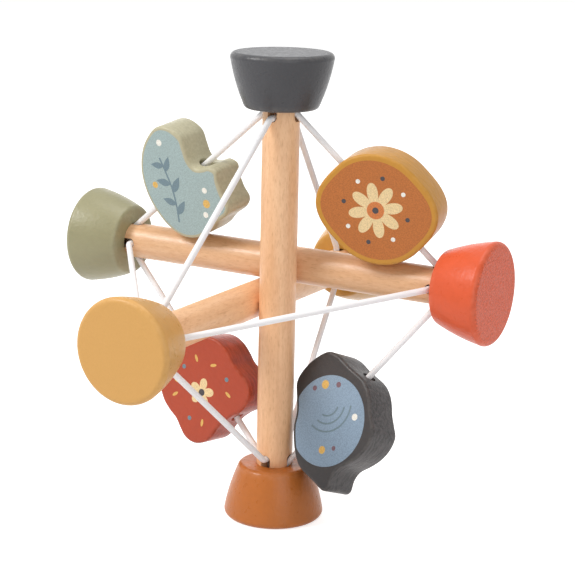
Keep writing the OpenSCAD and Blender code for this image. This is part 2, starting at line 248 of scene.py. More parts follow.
def paint(name, colour, rough=0.30, gloss=0.30, grain=0.0, side_sheen_tone=1.0, pits=0.0):
    """Satin paint on wood, with faint mottling, an orange peel and rubbed edges.

    grain is how much sawn grain shows on a block's sides, and a factor how much lighter the sides are painted than
    the faces, a painted sheen. pits is how much end grain shows on a cap's face.
    """
    t = Tree(name)
    at = t.coords((1, 1, 1))
    cloud = t.noise(at, scale=55, detail=3)
    fine = t.noise(at, scale=420, detail=3, rough=0.6)
    peel = t.noise(at, scale=760, detail=1, rough=0.5)
    base = t.tones(t.span(cloud, (0.3, 0.7)), colour, (0.94, 1.06))
    speck = t.tones(t.span(fine, (0.35, 0.7)), colour, (0.96, 1.05))
    body = t.mix(0.5, base, speck)
    relief = t.bump(cloud, strength=0.10, distance=0.0006)

    def wood_shows(where, pattern, tones, strength, distance):
        """Colour and relief once a pattern of the wood shows through the paint."""
        shown = t.tones(t.span(pattern, (0.36, 0.64)), colour, tones)
        height = t.math("MULTIPLY", where, t.math("SUBTRACT", pattern, 0.5))
        return t.mix(where, body, shown), t.bump(height, strength, distance, relief)

    if grain:
        sawn = t.noise(t.coords((0.15, 1, 1)), scale=800, detail=4, rough=0.65)
        # The side factor lifts the whole side above the face colour, a painted sheen; the streaks within it are sawn
        # grain.
        streaks = (side_sheen_tone * (1 - 0.60 * grain), side_sheen_tone * (1 + 0.30 * grain))
        body, relief = wood_shows(t.attribute("sawn_side"), sawn, streaks, strength=0.75 * grain, distance=0.00030)
    if pits:
        pit = t.noise(at, scale=1300, detail=2, rough=0.6)
        spots = (1 - 0.24 * pits, 1 + 0.24 * pits)
        body, relief = wood_shows(t.attribute("end_grain"), pit, spots, strength=pits, distance=0.0004)
    rubbed = t.math("MULTIPLY", t.attribute("edge"), t.span(fine, (0.35, 0.75), (0.0, 0.20)))
    worn = t.mix(0.3, scaled(colour, 1.15), BARE_WOOD)
    dull = t.span(fine, (0.25, 0.75), (rough - 0.05, rough + 0.08))
    t.set("Base Color", t.mix(rubbed, body, worn))
    t.set("Roughness", t.math("ADD", dull, t.math("MULTIPLY", t.attribute("end_grain"), 0.09)))
    t.set("Specular IOR Level", gloss)
    t.set("Normal", t.bump(peel, strength=0.60, distance=0.00020, normal=relief))
    return t.material


def natural_wood(name, axis, tone_and_painted_light):
    """Clear-lacquered pale hardwood with its grain along one axis, its colours scaled lighter or darker as painted
    light and shade.
    """
    t = Tree(name)
    pale, mid, deep, dark = (scaled(c, tone_and_painted_light) for c in (WOOD_PALE, WOOD_MID, WOOD_DEEP, WOOD_PORE))

    def stretched(lengthwise):
        scale = [1, 1, 1]
        scale[axis] = lengthwise
        return t.coords(scale)

    broad = t.noise(stretched(0.10), scale=110, detail=3, rough=0.5, distortion=0.5)
    rings = t.noise(stretched(0.040), scale=420, detail=3, rough=0.55, distortion=0.3)
    mottle = t.noise(stretched(0.35), scale=900, detail=3, rough=0.65)
    pore = t.noise(stretched(0.16), scale=2400, detail=1, rough=0.5)
    c = t.mix(t.span(broad, (0.32, 0.68)), mid, pale)
    c = t.mix(t.span(rings, (0.50, 0.74), (0, 0.35)), c, deep)
    c = t.mix(t.span(mottle, (0.42, 0.72), (0, 0.36)), c, deep)
    c = t.mix(t.span(pore, (0.58, 0.72), (0, 0.34)), c, dark)
    pores = t.bump(pore, strength=0.30, distance=0.00010)
    t.set("Base Color", c)
    t.set("Roughness", t.span(mottle, (0.3, 0.7), (0.28, 0.38)))
    t.set("Specular IOR Level", 0.4)
    t.set("Normal", t.bump(mottle, strength=0.30, distance=0.00014, normal=pores))
    return t.material


STRANDS = 6
STRAND_TURN_PER_MM = 5.2


def elastic(name):
    """White braided elastic: two sets of strands that cross around the cord."""
    t = Tree(name)
    uv = t.add("ShaderNodeUVMap", uv_map="braid").outputs[0]
    xyz = t.add("ShaderNodeSeparateXYZ")
    t.put(uv, xyz.inputs[0])
    around, lengthwise = xyz.outputs[0], xyz.outputs[1]

    def strand(way):
        start = t.math("MULTIPLY", around, STRANDS * 2 * math.pi * way)
        phase = t.math("ADD", start, t.math("MULTIPLY", lengthwise, STRAND_TURN_PER_MM))
        return t.math("ABSOLUTE", t.math("SINE", phase))

    weave = t.math("MAXIMUM", strand(1), strand(-1))
    fuzz = t.noise(t.coords((1, 1, 1)), scale=2600, detail=2)
    # The grooves between the strands get the darker colour, a painted shade; the strand tops get the lighter one.
    c = t.mix(t.span(weave, (0.55, 0.95)), CORD_SHADE, CORD_LIGHT)
    t.set("Base Color", t.mix(t.span(fuzz, (0.4, 0.7), (0, 0.2)), c, CORD_FUZZ))
    t.set("Roughness", 0.75)
    t.set("Specular IOR Level", 0.25)
    t.set("Sheen Weight", 0.2)
    t.set("Normal", t.bump(weave, strength=0.35, distance=0.00015))
    return t.material


def ink(name, colour):
    """Printed colour on a painted face: flat, with the fine grain of a screen print."""
    t = Tree(name)
    at = t.coords((1, 1, 1))
    grain = t.noise(at, scale=2100, detail=2, rough=0.65)
    cloud = t.noise(at, scale=90, detail=2)
    c = t.tones(t.span(grain, (0.35, 0.65)), colour, (0.82, 1.17))
    t.set("Base Color", t.mix(t.span(cloud, (0.3, 0.7), (0, 0.3)), c, scaled(colour, 0.96)))
    t.set("Roughness", t.span(grain, (0.3, 0.7), (0.46, 0.62)))
    t.set("Specular IOR Level", 0.4)
    t.set("Normal", t.bump(grain, strength=0.12, distance=0.0001))
    return t.material


CAP_FINISH = {
    "grey": dict(gloss=0.23, pits=0.25),
    "terracotta": dict(pits=0.10),
    "sage": dict(rough=0.38, gloss=0.50, pits=0.10),
    "coral": dict(gloss=0.18, pits=0.80),
    "ochre": dict(gloss=0.18, pits=0.05),
    "mustard": dict(pits=0.10),
}
# Blocks painted lighter on their sides than on their faces (pale sage a little, slate much) carry a painted sheen
# there.
BLOCK_FINISH = {
    "pale_sage": dict(rough=0.34, gloss=0.26, grain=0.18, side_sheen_tone=1.04),
    "mustard": dict(rough=0.34, gloss=0.16, grain=0.14),
    "brick": dict(rough=0.34, gloss=0.26, grain=0.44),
    "slate": dict(rough=0.34, gloss=0.30, grain=0.80, side_sheen_tone=1.40),
}
CAP_PAINTS = {name: paint("paint_" + name, COLOURS[name], **finish) for name, finish in CAP_FINISH.items()}
BLOCK_PAINTS = {name: paint("paint_block_" + name, COLOURS[name], **finish) for name, finish in BLOCK_FINISH.items()}
INKS = {name: ink("ink_" + name, colour) for name, colour in INK_COLOURS.items()}
ELASTIC = elastic("white_elastic")


# Mesh pieces

def add_piece(name, mesh, body, materials, replaces=(), place=None):
    o = bpy.data.objects.new(name, mesh)
    bpy.context.scene.collection.objects.link(o)
    if place is not None:
        o.matrix_world = place
    for m in materials:
        mesh.materials.append(m)
    bpy.context.view_layer.update()
    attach(o, body)
    if replaces:
        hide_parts(*replaces)
    return o


def to_mesh(bm, name):
    mesh = bpy.data.meshes.new(name)
    bm.to_mesh(mesh)
    bm.free()
    return mesh


def mark(mesh, name, values):
    a = mesh.attributes.new(name, "FLOAT", "POINT")
    a.data.foreach_set("value", np.asarray(values, dtype=np.float32))


def circle(sides, offset=0.0):
    """Angles all the way round, the first of them some share of a step from 0."""
    return [2 * math.pi * (k + offset) / sides for k in range(sides)]


def skin(bm, a, b):
    """Faces from one ring of points to the next."""
    n = len(a)
    return [bm.faces.new((a[k], a[(k + 1) % n], b[(k + 1) % n], b[k])) for k in range(n)]


def close_ends(bm, rings):
    bm.faces.new(rings[0][::-1])
    bm.faces.new(rings[-1])


def placed(u, v, w, origin):
    """The matrix that lays X, Y and Z along three axes, from a place in millimetres."""
    m = Matrix.Identity(4)
    for k, column in enumerate((u, v, w)):
        for r in range(3):
            m[r][k] = column[r]
    m.translation = Vector(origin * MM)
    return m


# Caps
FACE_RINGS = 8
RIM_STEPS = 15
TAPER_STEPS = 14
NECK_STEPS = 8
CAP_SIDES = 112
FACE_MARGIN_MM = 0.6
NECK_MARGIN_MM = 0.5
SOCKET_LIP_MM = 0.4
NECK_WEAR = 0.9
SOCKET_WEAR = 0.3
END_GRAIN_DEPTH_MM = 0.3
CAP_SHARP_DEG = 50


def cap_profile():
    """Half outline of a cap as (radius, level, wear), from the middle of its face to its socket's floor."""
    rim = np.array([CAP_D_MM / 2 - CAP_RIM_R_MM, FACE_LEVEL - CAP_RIM_R_MM])
    neck = np.array([CAP_NECK_D_MM / 2 - CAP_NECK_R_MM, NECK_LEVEL + CAP_NECK_R_MM])
    taper = math.atan2(rim[0] - neck[0] + CAP_RIM_R_MM - CAP_NECK_R_MM, rim[1] - neck[1])
    normal = np.array([math.cos(taper), -math.sin(taper)])
    rim_end = rim + CAP_RIM_R_MM * normal
    neck_end = neck + CAP_NECK_R_MM * normal
    socket_r = DOWEL_R + SOCKET_CLEARANCE_MM
    socket_floor = NECK_LEVEL + SOCKET_DEPTH_MM
    p = [(r, FACE_LEVEL, 0.0) for r in np.linspace(0, rim[0] - FACE_MARGIN_MM, FACE_RINGS)]
    for a in np.linspace(math.pi / 2, -taper, RIM_STEPS):
        q = rim + CAP_RIM_R_MM * np.array([math.cos(a), math.sin(a)])
        p.append((q[0], q[1], max(0.0, math.sin(2 * max(a, 0)))))
    for s in np.linspace(0, 1, TAPER_STEPS)[1:-1]:
        q = rim_end * (1 - s) + neck_end * s + 4 * s * (1 - s) * CAP_SWELL_MM * normal
        p.append((q[0], q[1], 0.0))
    for a in np.linspace(-taper, -math.pi / 2, NECK_STEPS):
        q = neck + CAP_NECK_R_MM * np.array([math.cos(a), math.sin(a)])
        p.append((q[0], q[1], NECK_WEAR))
    p.append((neck[0] - NECK_MARGIN_MM, NECK_LEVEL, 0.0))
    p.append((socket_r + SOCKET_LIP_MM, NECK_LEVEL, 0.0))
    p.append((socket_r, NECK_LEVEL, SOCKET_WEAR))
    p.append((socket_r, NECK_LEVEL + SOCKET_LIP_MM, 0.0))
    p.append((socket_r, socket_floor, 0.0))
    p.append((0, socket_floor, 0.0))
    return p


def lathe(name, profile):
    """A half outline turned about Z, with its wear and its end grain marked."""
    bm = bmesh.new()
    rings, worn = [], []
    for r, level, w in profile:
        angles = circle(CAP_SIDES) if r > 0 else [0.0]
        rings.append([bm.verts.new((r * math.cos(a) * MM, r * math.sin(a) * MM, level * MM)) for a in angles])
        worn += [w] * len(angles)
    for a, b in zip(rings, rings[1:]):
        for i in range(CAP_SIDES):
            j = (i + 1) % CAP_SIDES
            if len(a) == 1:
                bm.faces.new((a[0], b[i], b[j]))
            elif len(b) == 1:
                bm.faces.new((a[i], b[0], a[j]))
            else:
                bm.faces.new((a[i], b[i], b[j], a[j]))
    for f in bm.faces:
        f.smooth = True
    bm.normal_update()
    mesh = to_mesh(bm, name)
    end_level = (FACE_LEVEL - END_GRAIN_DEPTH_MM) * MM
    mark(mesh, "edge", worn)
    mark(mesh, "end_grain", [1.0 if v.co.z > end_level else 0.0 for v in mesh.vertices])
    mesh.set_sharp_from_angle(angle=math.radians(CAP_SHARP_DEG))
    return mesh


def axis_place(axis, side):
    """Turns a piece drawn along +Z to point along one side of an axis, on that dowel's centre line."""
    w = UNIT[axis] * side
    u = UNIT[(axis + 1) % 3]
    return placed(u, np.cross(w, u), w, PASS[axis])


CAPS = {
    "top_cap": (Z, 1, "grey", "grey_paint"),
    "bottom_cap": (Z, -1, "terracotta", "terracotta_paint"),
    "left_cap": (X, -1, "sage", "sage_paint"),
    "right_cap": (X, 1, "coral", "coral_paint"),
    "front_cap": (Y, -1, "ochre", "ochre_paint"),
    "back_cap": (Y, 1, "mustard", "mustard_paint"),
}
for node, (axis, side, colour, slot) in CAPS.items():
    piece = node + "_turned"
    mesh = lathe(piece, cap_profile())
    add_piece(piece, mesh, "frame", [CAP_PAINTS[colour]], [node], axis_place(axis, side))

# Dowels keep their solids and get grain along their own length; each dowel's wood is scaled lighter or darker for
# the light that falls on it, painted light and shade
DOWELS = {"upright_dowel": (Z, 1.10), "cross_dowel": (X, 0.96), "depth_dowel": (Y, 1.17)}
for node, (axis, tone_and_painted_light) in DOWELS.items():
    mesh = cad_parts[node].data
    mesh.materials.clear()
    mesh.materials.append(natural_wood("wood_" + node, axis, tone_and_painted_light))


# Cords
CORD_SIDES = 20
CORD_STEP_MM = 4.0
CORD_SHARP_DEG = 60
BEND_STEPS = 8


def bend(a, b, c):
    """A rounded corner at b on the way from a to c."""
    p = b + unit(a - b) * BEND_TRIM
    q = b + unit(c - b) * BEND_TRIM
    return [p * (1 - t) ** 2 + b * 2 * t * (1 - t) + q * t * t for t in np.linspace(0, 1, BEND_STEPS + 1)]


def fill_in(points, closed):
    """Splits long stretches into even parts of at least a step."""
    out = []
    n = len(points)
    for i in range(n if closed else n - 1):
        a, b = points[i], points[(i + 1) % n]
        parts = max(1, int(np.linalg.norm(b - a) / CORD_STEP_MM))
        out += [a + (b - a) * k / parts for k in range(parts)]
    return out if closed else out + [points[-1]]


def tube(bm, uv, points, normal, closed):
    """A round cord along points, with its length in millimetres as the second UV."""
    n = len(points)
    rings, length = [], [0.0]
    for i in range(n):
        before = points[i - 1] if closed or i else points[0]
        after = points[(i + 1) % n] if closed or i < n - 1 else points[-1]
        t = unit(after - before)
        e = square_to(normal, t)
        f = np.cross(t, e)
        rings.append([bm.verts.new((points[i] + CORD_R * (e * math.cos(a) + f * math.sin(a))) * MM)
                      for a in circle(CORD_SIDES)])
        length.append(length[-1] + np.linalg.norm(points[(i + 1) % n] - points[i]))
    for i in range(n if closed else n - 1):
        for k, face in enumerate(skin(bm, rings[i], rings[(i + 1) % n])):
            face.smooth = True
            corners = ((k, i), (k + 1, i), (k + 1, i + 1), (k, i + 1))
            for loop, (s, j) in zip(face.loops, corners):
                loop[uv].uv = (s / CORD_SIDES, length[j])
    if not closed:
        close_ends(bm, rings)


def add_cord(node, runs, body):
    """A braided piece in a cord's place, made of one or more runs as (points, normal, closed)."""
    bm = bmesh.new()
    uv = bm.loops.layers.uv.new("braid")
    for run in runs:
        tube(bm, uv, *run)
    bmesh.ops.recalc_face_normals(bm, faces=bm.faces)
    piece = node + "_braid"
    mesh = to_mesh(bm, piece)
    mesh.set_sharp_from_angle(angle=math.radians(CORD_SHARP_DEG))
    add_piece(piece, mesh, body, [ELASTIC], [node])


def loop_route(a, b, upper_axis=None):
    """A loop over the ends of two dowels. On the upper axis it passes over another loop."""
    ends = [(a, 1), (b, 1), (a, -1), (b, -1)]
    points = []
    for i, (axis, side) in enumerate(ends):
        before, after = ends[i - 1], ends[(i + 1) % 4]
        if axis == upper_axis:
            for to, r, level in ((before, ANCHOR_R, ANCHOR_LEVEL), (before, CROSS_R, CROSS_LEVEL),
                                 (after, CROSS_R, CROSS_LEVEL), (after, ANCHOR_R, ANCHOR_LEVEL)):
                points.append(at_end(axis, side, *to, r, level))
        else:
            for to in (before, after):
                points.append(at_end(axis, side, *to, LOWER_CORNER_R, LOWER_LEVEL))
    n = len(points)
    rounded = []
    for i in range(n):
        rounded += bend(points[i - 1], points[i], points[(i + 1) % n])
    return fill_in(rounded, closed=True)


def into_kerf(ends, k, axis):
    """How far a stretch runs past its anchor, into the dowel's end."""
    out = ends[k] - PASS[axis]
    out = unit(out - UNIT[axis] * out[axis])
    return (ANCHOR_R - STRETCH_END_R) / abs(np.dot(unit(ends[1] - ends[0]), out))


def side_turns():
    """The four turns of the side loop in the dowel ends, between its stretches."""
    loop = [(Z, 1), (X, 1), (Z, -1), (X, -1)]
    turns = []
    for i, end in enumerate(loop):
        route = []
        for to in (loop[i - 1], loop[(i + 1) % 4]):
            ends = [anchor(*end, *to), anchor(*to, *end)]
            way = unit(ends[1] - ends[0])
            start = ends[0] - way * (into_kerf(ends, 0, end[0]) + TURN_GAP_MM)
            route.append((start, start - way * TURN_LEAD, at_end(*end, *to, CROSS_R, CROSS_LEVEL)))
        (a, b, c), (f, e, d) = route
        turns.append(([a, b] + bend(b, c, d) + bend(c, d, e) + [e, f], UNIT[Y], False))
    return turns


add_cord("upright_loop", [(loop_route(Z, Y), UNIT[X], True)], "frame")
add_cord("level_loop", [(loop_route(X, Y, upper_axis=Y), UNIT[Z], True)], "frame")
add_cord("side_loop_turns", side_turns(), "frame")


# Outlines of the blocks, as (along the cord, across it)
HIPPO = [(8, 19.2), (2.7, 22.6), (-4.4, 21.8), (-10.6, 18.8), (-16, 13.5), (-19.5, 6.5), (-20.9, -1.5),
         (-20, -10.4), (-16.4, -17.4), (-10.5, -21.4), (-4, -22.4), (2, -21.7), (8, -21.9), (11.6, -19.9),
         (12.3, -15), (14, -10), (16, -6.6), (14.2, -3.2), (10.6, -1.7), (8, 0.4), (7.6, 4), (9, 8), (10.5, 13)]
BEAR_HALF = [(20.8, 6), (18.4, 13.2), (14.8, 17.2), (10, 19), (5, 19.1), (1, 18.6), (-3.5, 19.3), (-7.5, 19.5),
             (-11.5, 17.6), (-14, 13.8), (-14.8, 9.5), (-13.7, 4.5)]
BEAR = [(21.6, 0)] + BEAR_HALF + [(-13.3, 0)] + [(u, -v) for u, v in BEAR_HALF[::-1]]
ELEPHANT = [(19.6, -3), (17.8, 5), (16.6, 12), (13.6, 17), (7, 19.3), (0.5, 19.5), (-4.5, 17.8), (-8, 13),
            (-11.4, 8.4), (-15.6, 4.9), (-19.4, -0.4), (-22, -6), (-22.6, -11), (-21, -18.5), (-19.7, -24.2),
            (-17, -25.6), (-13, -23.3), (-9, -22.7), (-3.7, -24.4), (1.5, -25.4), (6.5, -25), (11, -22.9),
            (13.3, -18.8), (15.2, -15), (17.6, -11.4), (19.2, -7.6)]
HIPPO_SIZE_MM = (37, 45)
ROUND_SIZE_MM = (43, 40)
BEAR_SIZE_MM = (36.5, 39)
ELEPHANT_SIZE_MM = (42.5, 45)
BEAR_SHIFT_MM = 2.0
ROUND_STEP_DEG = 2.0
ROUND_POWER = 2.0
ROUND_SIDE_POWER = 3.0
OUTLINE_STEPS = 8
STEP_SHARES = np.arange(OUTLINE_STEPS) / OUTLINE_STEPS


def spline(a, b, c, d, t):
    """A point between b and c on the smooth curve through four points."""
    return 0.5 * (2 * b + (c - a) * t + (2 * a - 5 * b + 4 * c - d) * t * t
                  + (3 * b - a - 3 * c + d) * t ** 3)


def smooth(points):
    """A smooth closed curve through points."""
    p = np.array(points, float)
    n = len(p)
    return np.array([spline(p[i - 1], p[i], p[(i + 1) % n], p[(i + 2) % n], t)
                     for i in range(n) for t in STEP_SHARES])


def smooth_open(points):
    """A smooth curve from the first point to the last."""
    p = np.array(points, float)
    p = np.vstack([2 * p[0] - p[1], p, 2 * p[-1] - p[-2]])
    curve = [spline(*p[i - 1:i + 3], t) for i in range(1, len(p) - 2) for t in STEP_SHARES]
    return np.array(curve + [p[-2]])


def sized(p, length, width):
    return p * np.array([length / np.ptp(p[:, 0]), width / np.ptp(p[:, 1])])


def inset(p, d):
    along = np.roll(p, -1, 0) - np.roll(p, 1, 0)
    along /= np.linalg.norm(along, axis=1)[:, None]
    return p - d * np.stack([along[:, 1], -along[:, 0]], 1)


def round_outline(length, width):
    """Oval whose two side corners are squarer than its other two."""
    a = np.radians(np.arange(0, 360, ROUND_STEP_DEG))
    c, s = np.cos(a), np.sin(a)
    k = 2 / np.where(c * s > 0, ROUND_SIDE_POWER, ROUND_POWER)
    return np.stack([length / 2 * np.sign(c) * abs(c) ** k, width / 2 * np.sign(s) * abs(s) ** k], 1)


OUTLINES = {
    "hippo": sized(smooth(HIPPO), *HIPPO_SIZE_MM),
    "round": round_outline(*ROUND_SIZE_MM),
    "bear": sized(smooth(BEAR), *BEAR_SIZE_MM) + (0, BEAR_SHIFT_MM),
    "elephant": sized(smooth(ELEPHANT), *ELEPHANT_SIZE_MM),
}


# Blocks
CORD_ENDS = {
    "hippo": ((X, -1), (Z, 1)),
    "round": ((X, 1), (Z, 1)),
    "bear": ((Z, -1), (X, -1)),
    "elephant": ((Z, -1), (X, 1)),
}
BLOCK_TURNS_DEG = {"hippo": 3, "round": 4, "bear": 2, "elephant": -23}
EDGE_STEPS = 7
FACE_RING_MM = 0.35
BLOCK_SHARP_DEG = 38

# Holes of the scene's own blocks, plainer than those of the solids
BORE_D_MM = 4.8
FLARE_D_MM = 5.6
FLARE_DEPTH_MM = 0.5
BORE_SIDES = 40


def block_axes(name):
    """Both anchors of the block's cord, and the block's axes along the cord, across it and out of its face."""
    low, high = CORD_ENDS[name]
    ends = [anchor(*low, *high), anchor(*high, *low)]
    u = unit(ends[1] - ends[0])
    front = square_to(-UNIT[Y], u)
    a = math.radians(BLOCK_TURNS_DEG[name])
    w = front * math.cos(a) + np.cross(u, front) * math.sin(a)
    return ends, u, np.cross(w, u), w


def block_place(name):
    """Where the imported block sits: its origin is on the cord, as far up as the solid is."""
    ends, u, v, w = block_axes(name)
    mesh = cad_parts[name + "_block"].data
    co = np.empty(len(mesh.vertices) * 3)
    mesh.vertices.foreach_get("co", co)
    low = ((co.reshape(-1, 3) / MM - ends[0]) @ u).min()
    return placed(u, v, w, ends[0] + u * (low - OUTLINES[name][:, 0].min()))


def plate(name, outline):
    """Flat block with rounded edges; its faces get an extra ring so that they shade flat."""
    half = BLOCK_T_MM / 2
    layers = []
    for a in np.linspace(0, math.pi / 2, EDGE_STEPS):
        depth, height = BLOCK_EDGE_R_MM * (1 - math.cos(a)), half - BLOCK_EDGE_R_MM * (1 - math.sin(a))
        layers.append((depth, height, math.sin(2 * a), math.cos(a)))
    layers.append((BLOCK_EDGE_R_MM + FACE_RING_MM, half, 0.0, 0.0))
    layers = [(d, -h, w, s) for d, h, w, s in layers[::-1]] + layers
    bm = bmesh.new()
    rings, worn, sawn = [], [], []
    for d, h, w, s in layers:
        rings.append([bm.verts.new((q[0] * MM, q[1] * MM, h * MM)) for q in inset(outline, d)])
        worn += [w] * len(outline)
        sawn += [s] * len(outline)
    for a, b in zip(rings, rings[1:]):
        skin(bm, a, b)
    close_ends(bm, rings)
    for f in bm.faces:
        f.smooth = True
    mesh = to_mesh(bm, name)
    mark(mesh, "edge", worn)
    mark(mesh, "sawn_side", sawn)
    return mesh


def bore_cutter(outline):
    """Hole along the cord with a flared mouth at each end; no corner of it lies in the block's mid-plane."""
    near = outline[abs(outline[:, 1]) < FLARE_D_MM / 2]
    high = near[near[:, 0] > 0][:, 0].min()
    low = near[near[:, 0] < 0][:, 0].max()
    far = BLOCK_T_MM
    profile = [(low - far, FLARE_D_MM), (low, FLARE_D_MM), (low + FLARE_DEPTH_MM, BORE_D_MM),
               (high - FLARE_DEPTH_MM, BORE_D_MM), (high, FLARE_D_MM), (high + far, FLARE_D_MM)]
    bm = bmesh.new()
    rings = [[bm.verts.new((s * MM, d / 2 * math.cos(a) * MM, d / 2 * math.sin(a) * MM))
              for a in circle(BORE_SIDES, offset=0.5)] for s, d in profile]
    for a, b in zip(rings, rings[1:]):
        skin(bm, a, b)
    close_ends(bm, rings)
    bmesh.ops.recalc_face_normals(bm, faces=bm.faces)
    return to_mesh(bm, "bore")


def bored_plate(name, outline):
    """The plate with its hole cut."""
    body = bpy.data.objects.new("plain_" + name, plate(name, outline))
    cutter = bpy.data.objects.new("bore_" + name, bore_cutter(outline))
    for o in (body, cutter):
        bpy.context.scene.collection.objects.link(o)
    cut = body.modifiers.new("hole", "BOOLEAN")
    cut.object = cutter
    cut.solver = "EXACT"
    mesh = bpy.data.meshes.new_from_object(body.evaluated_get(bpy.context.evaluated_depsgraph_get()))
    mesh.name = name
    for o in (body, cutter):
        old = o.data
        bpy.data.objects.remove(o)
        bpy.data.meshes.remove(old)
    for p in mesh.polygons:
        p.use_smooth = True
    mesh.set_sharp_from_angle(angle=math.radians(BLOCK_SHARP_DEG))
    return mesh


# Prints: flat shapes in a block's plane, as (layer, ink, points)
LAYER_MM = 0.02
GROUND, FIGURE, OVER, TOP = 1, 2, 3, 4
HIPPO_MARGIN_MM = 1.4
ROUND_MARGIN_MM = 2.2
ELEPHANT_MARGIN_MM = 1.5
ELEPHANT_FIELD = (-2.0, -4.8, 17.4)
STEM_WIDTH_MM = 0.8
ARC_WIDTH_MM = 0.7
LEAF_SLENDERNESS = 0.42
LEAF_POWER = 0.8
PETAL_POWER = 0.8
RING_DOTS = 8
RING_START_DEG = 32.5
RING_R_MM = 12.4
RING_DOT_R_MM = 0.85
SEED_SIZE_MM = (1.5, 0.6)


def turned(p, turn, cu, cv):
    """Points turned by some degrees and then moved."""
    t = math.radians(turn)
    return p @ np.array([[math.cos(t), math.sin(t)], [-math.sin(t), math.cos(t)]]) + (cu, cv)


def polar(cu, cv, r, a):
    return np.stack([cu + r * np.cos(a), cv + r * np.sin(a)], 1)


def ellipse(cu, cv, ru, rv, turn=0.0, n=48):
    a = np.linspace(0, 2 * math.pi, n, endpoint=False)
    return turned(np.stack([ru * np.cos(a), rv * np.sin(a)], 1), turn, cu, cv)


def leaf(cu, cv, length, turn, n=24):
    s = np.linspace(0, 1, n)
    half = length * LEAF_SLENDERNESS / 2 * np.sin(math.pi * s ** LEAF_POWER)
    back = np.stack([s[::-1] * length, -half[::-1]], 1)[1:-1]
    return turned(np.vstack([np.stack([s * length, half], 1), back]), turn, cu, cv)


def stroke(points, width):
    p = np.array(points, float)
    d = np.gradient(p, axis=0)
    d /= np.linalg.norm(d, axis=1)[:, None]
    side = np.stack([-d[:, 1], d[:, 0]], 1) * width / 2
    return np.vstack([p + side, (p - side)[::-1]])


def arc(cu, cv, r, start, end, n=20):
    return stroke(polar(cu, cv, r, np.radians(np.linspace(start, end, n))), ARC_WIDTH_MM)


def flower(cu, cv, inner, outer, petals, turn, n=144):
    """One closed outline with rounded petals."""
    a = np.linspace(0, 2 * math.pi, n, endpoint=False)
    r = inner + (outer - inner) * abs(np.cos(petals * (a - math.radians(turn)) / 2)) ** PETAL_POWER
    return polar(cu, cv, r, a)


def within(points, cu, cv, r):
    """An outline whose points outside a disc are drawn in to the disc's rim."""
    d = points - np.array([cu, cv])
    far = np.linalg.norm(d, axis=1)[:, None]
    return np.array([cu, cv]) + d * np.minimum(1, r / far)


def dots(layer, rows):
    return [(layer, colour, ellipse(cu, cv, r, r)) for cu, cv, r, colour in rows]


def hippo_print(outline):
    """A sprig of leaves and a few dots on a ground of the block's own shape."""
    stem = [(-13.7, -12), (-10.2, -6.5), (-7.2, -0.5), (-5.2, 6), (-3.7, 12.5)]
    leaves = [(-11.8, -9.4, 7, 20), (-9.8, -5.8, 6.5, 128), (-7.7, -1.5, 7.5, 24),
              (-6.6, 1.8, 6.8, 135), (-5.0, 6.8, 6.5, 34), (-4.6, 9.0, 6.0, 140)]
    shapes = [(GROUND, "pale_blue", inset(outline, HIPPO_MARGIN_MM)),
              (FIGURE, "deep_blue", stroke(smooth_open(stem), STEM_WIDTH_MM))]
    shapes += [((OVER, TOP)[k % 2], "deep_blue", leaf(*row)) for k, row in enumerate(leaves)]
    return shapes + dots(FIGURE, [(3.4, -13.5, 1.7, "honey"), (6.3, -9.0, 1.2, "white"), (0.0, -16.6, 1.2, "white"),
                                  (-13.4, 5.6, 1.3, "honey"), (0.4, 17.0, 1.3, "white")])


def round_print(outline):
    """A large flower with a ring of dots on a ground of the block's own shape."""
    shapes = [(GROUND, "rust", inset(outline, ROUND_MARGIN_MM)),
              (FIGURE, "cream", flower(0, 0, inner=4.4, outer=10.4, petals=8, turn=10))]
    shapes += dots(OVER, [(0, 0, 3.3, "orange")]) + dots(TOP, [(0, 0, 1.2, "dark")])
    for k in range(RING_DOTS):
        a = math.radians(360 / RING_DOTS * k + RING_START_DEG)
        colour = ("dark", "white")[k % 2]
        shapes += dots(FIGURE, [(RING_R_MM * math.cos(a), RING_R_MM * math.sin(a), RING_DOT_R_MM, colour)])
    return shapes


def bear_print(_):
    """A small flower with seeds and dots straight on the paint."""
    seeds = [(12.1, 10, 30), (13.6, -3.5, -20), (6.6, -8.5, 60), (-6.4, -7, 10), (-7.9, 10.5, -50), (8.6, 14.2, 80)]
    shapes = [(GROUND, "cream", flower(1.6, 3.0, inner=2.2, outer=5.8, petals=5, turn=18))]
    shapes += dots(FIGURE, [(1.6, 3.0, 1.4, "dark")])
    shapes += [(GROUND, "honey", ellipse(cu, cv, *SEED_SIZE_MM, turn)) for cu, cv, turn in seeds]
    return shapes + dots(GROUND, [(14.6, 3.6, 0.9, "deep_blue"), (-1.4, -10.2, 0.9, "deep_blue"),
                                  (-2.9, 14.4, 0.9, "deep_blue")])


def elephant_print(outline):
    """Three arcs and a few dots on a rounded ground."""
    arcs = [(5.0, 200, 300), (8.0, 194, 306), (11.0, 188, 312)]
    shapes = [(GROUND, "steel_blue", within(inset(outline, ELEPHANT_MARGIN_MM), *ELEPHANT_FIELD))]
    shapes += [(FIGURE, "deep_blue", arc(2.4, 0.5, r, start, end)) for r, start, end in arcs]
    return shapes + dots(FIGURE, [(5.6, 7.0, 1.7, "honey"), (10.2, 2.6, 1.1, "plum"), (1.0, 9.4, 1.0, "plum"),
                                  (-10.5, -12.0, 1.5, "honey"), (-6.0, -15.2, 0.9, "plum"),
                                  (8.4, -12.4, 1.3, "white")])


PRINTS = {"hippo": hippo_print, "round": round_print, "bear": bear_print, "elephant": elephant_print}


def film(bm, points, bottom, top, material):
    """A flat shape with a thickness, closed all round."""
    low, high = ([bm.verts.new((u * MM, v * MM, h * MM)) for u, v in points] for h in (bottom, top))
    for f in [bm.faces.new(low), bm.faces.new(high)] + skin(bm, low, high):
        f.material_index = material


